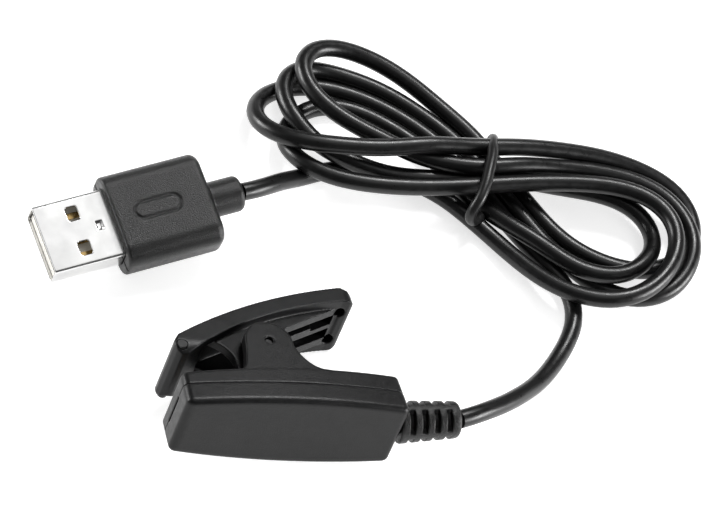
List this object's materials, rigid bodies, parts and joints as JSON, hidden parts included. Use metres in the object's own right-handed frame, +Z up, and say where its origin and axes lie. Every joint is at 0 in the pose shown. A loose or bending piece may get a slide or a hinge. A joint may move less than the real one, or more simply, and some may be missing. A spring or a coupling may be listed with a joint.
{
  "type": "watch charging clip cable",
  "caption": "Clothes-peg charging clip with sprung contacts on a coiled round cable ending in a USB-A plug.",
  "frame": {"origin": "middle of the underside of the clip with its strain relief, on the table", "axes": "+X along the clip to its cable exit, +Z up from the table the lead lies on, +Y from the base to the lever"},
  "size_m": [0.1188, 0.0853, 0.019],
  "materials": {
    "black_housing": "fine moulded texture, satin",
    "black_grip": "spark-eroded texture, soft matt",
    "black_cable": "smooth satin PVC",
    "dark_insulator": "satin",
    "white_insulator": "satin",
    "board_green": "solder mask",
    "bright_steel": "bright nickel plate",
    "dark_steel": "drawn wire",
    "gold_plate": "gold plate",
    "wire_red": "satin",
    "wire_white": "satin",
    "wire_green": "satin",
    "wire_black": "satin"
  },
  "bodies": {
    "clip_base": {"base_housing": "black_housing", "base_cover": "black_housing", "hinge_pin": "dark_steel", "hinge_spring": "dark_steel", "contact_block": "dark_insulator", "contact_board": "board_green", "contact_barrel_1": "gold_plate", "contact_barrel_2": "gold_plate", "contact_barrel_3": "gold_plate", "contact_barrel_4": "gold_plate", "cable_crimp": "dark_steel", "cable_sheath_end": "black_cable", "wire_red": "wire_red", "wire_white": "wire_white", "wire_green": "wire_green", "wire_black": "wire_black", "strain_relief": "black_grip", "cable_clip_tail": "black_cable", "cable_hank": "black_cable", "cable_plug_tail": "black_cable", "cable_tie": "black_grip", "plug_grip": "black_grip", "usb_shell": "bright_steel", "usb_tongue": "white_insulator", "usb_contact_1": "gold_plate", "usb_contact_2": "gold_plate", "usb_contact_3": "gold_plate", "usb_contact_4": "gold_plate"},
    "lever": {"lever": "black_housing", "jaw_pin": "dark_steel"},
    "plunger_1": {"contact_plunger_1": "gold_plate"},
    "plunger_2": {"contact_plunger_2": "gold_plate"},
    "plunger_3": {"contact_plunger_3": "gold_plate"},
    "plunger_4": {"contact_plunger_4": "gold_plate"}
  },
  "joints": [
    {"name": "lever_hinge", "type": "hinge", "parent": "clip_base", "child": "lever", "pos_m": [-0.00806, -0.00031, 0.00956], "axis": [-0.0684, -0.1942, -0.9786], "range_deg": [0, 25], "stiffness_Nm_per_rad": 0.12, "springref_deg": -34.38, "deforming": ["hinge_spring"]},
    {"name": "plunger_slide_1", "type": "slide", "parent": "clip_base", "child": "plunger_1", "axis": [0.0135, -0.981, 0.1938], "range_m": [0, 0.001], "stiffness_N_per_m": 600, "springref_m": -0.0003},
    {"name": "plunger_slide_2", "type": "slide", "parent": "clip_base", "child": "plunger_2", "axis": [0.0135, -0.981, 0.1938], "range_m": [0, 0.001], "stiffness_N_per_m": 600, "springref_m": -0.0003},
    {"name": "plunger_slide_3", "type": "slide", "parent": "clip_base", "child": "plunger_3", "axis": [0.0135, -0.981, 0.1938], "range_m": [0, 0.001], "stiffness_N_per_m": 600, "springref_m": -0.0003},
    {"name": "plunger_slide_4", "type": "slide", "parent": "clip_base", "child": "plunger_4", "axis": [0.0135, -0.981, 0.1938], "range_m": [0, 0.001], "stiffness_N_per_m": 600, "springref_m": -0.0003}
  ]
}
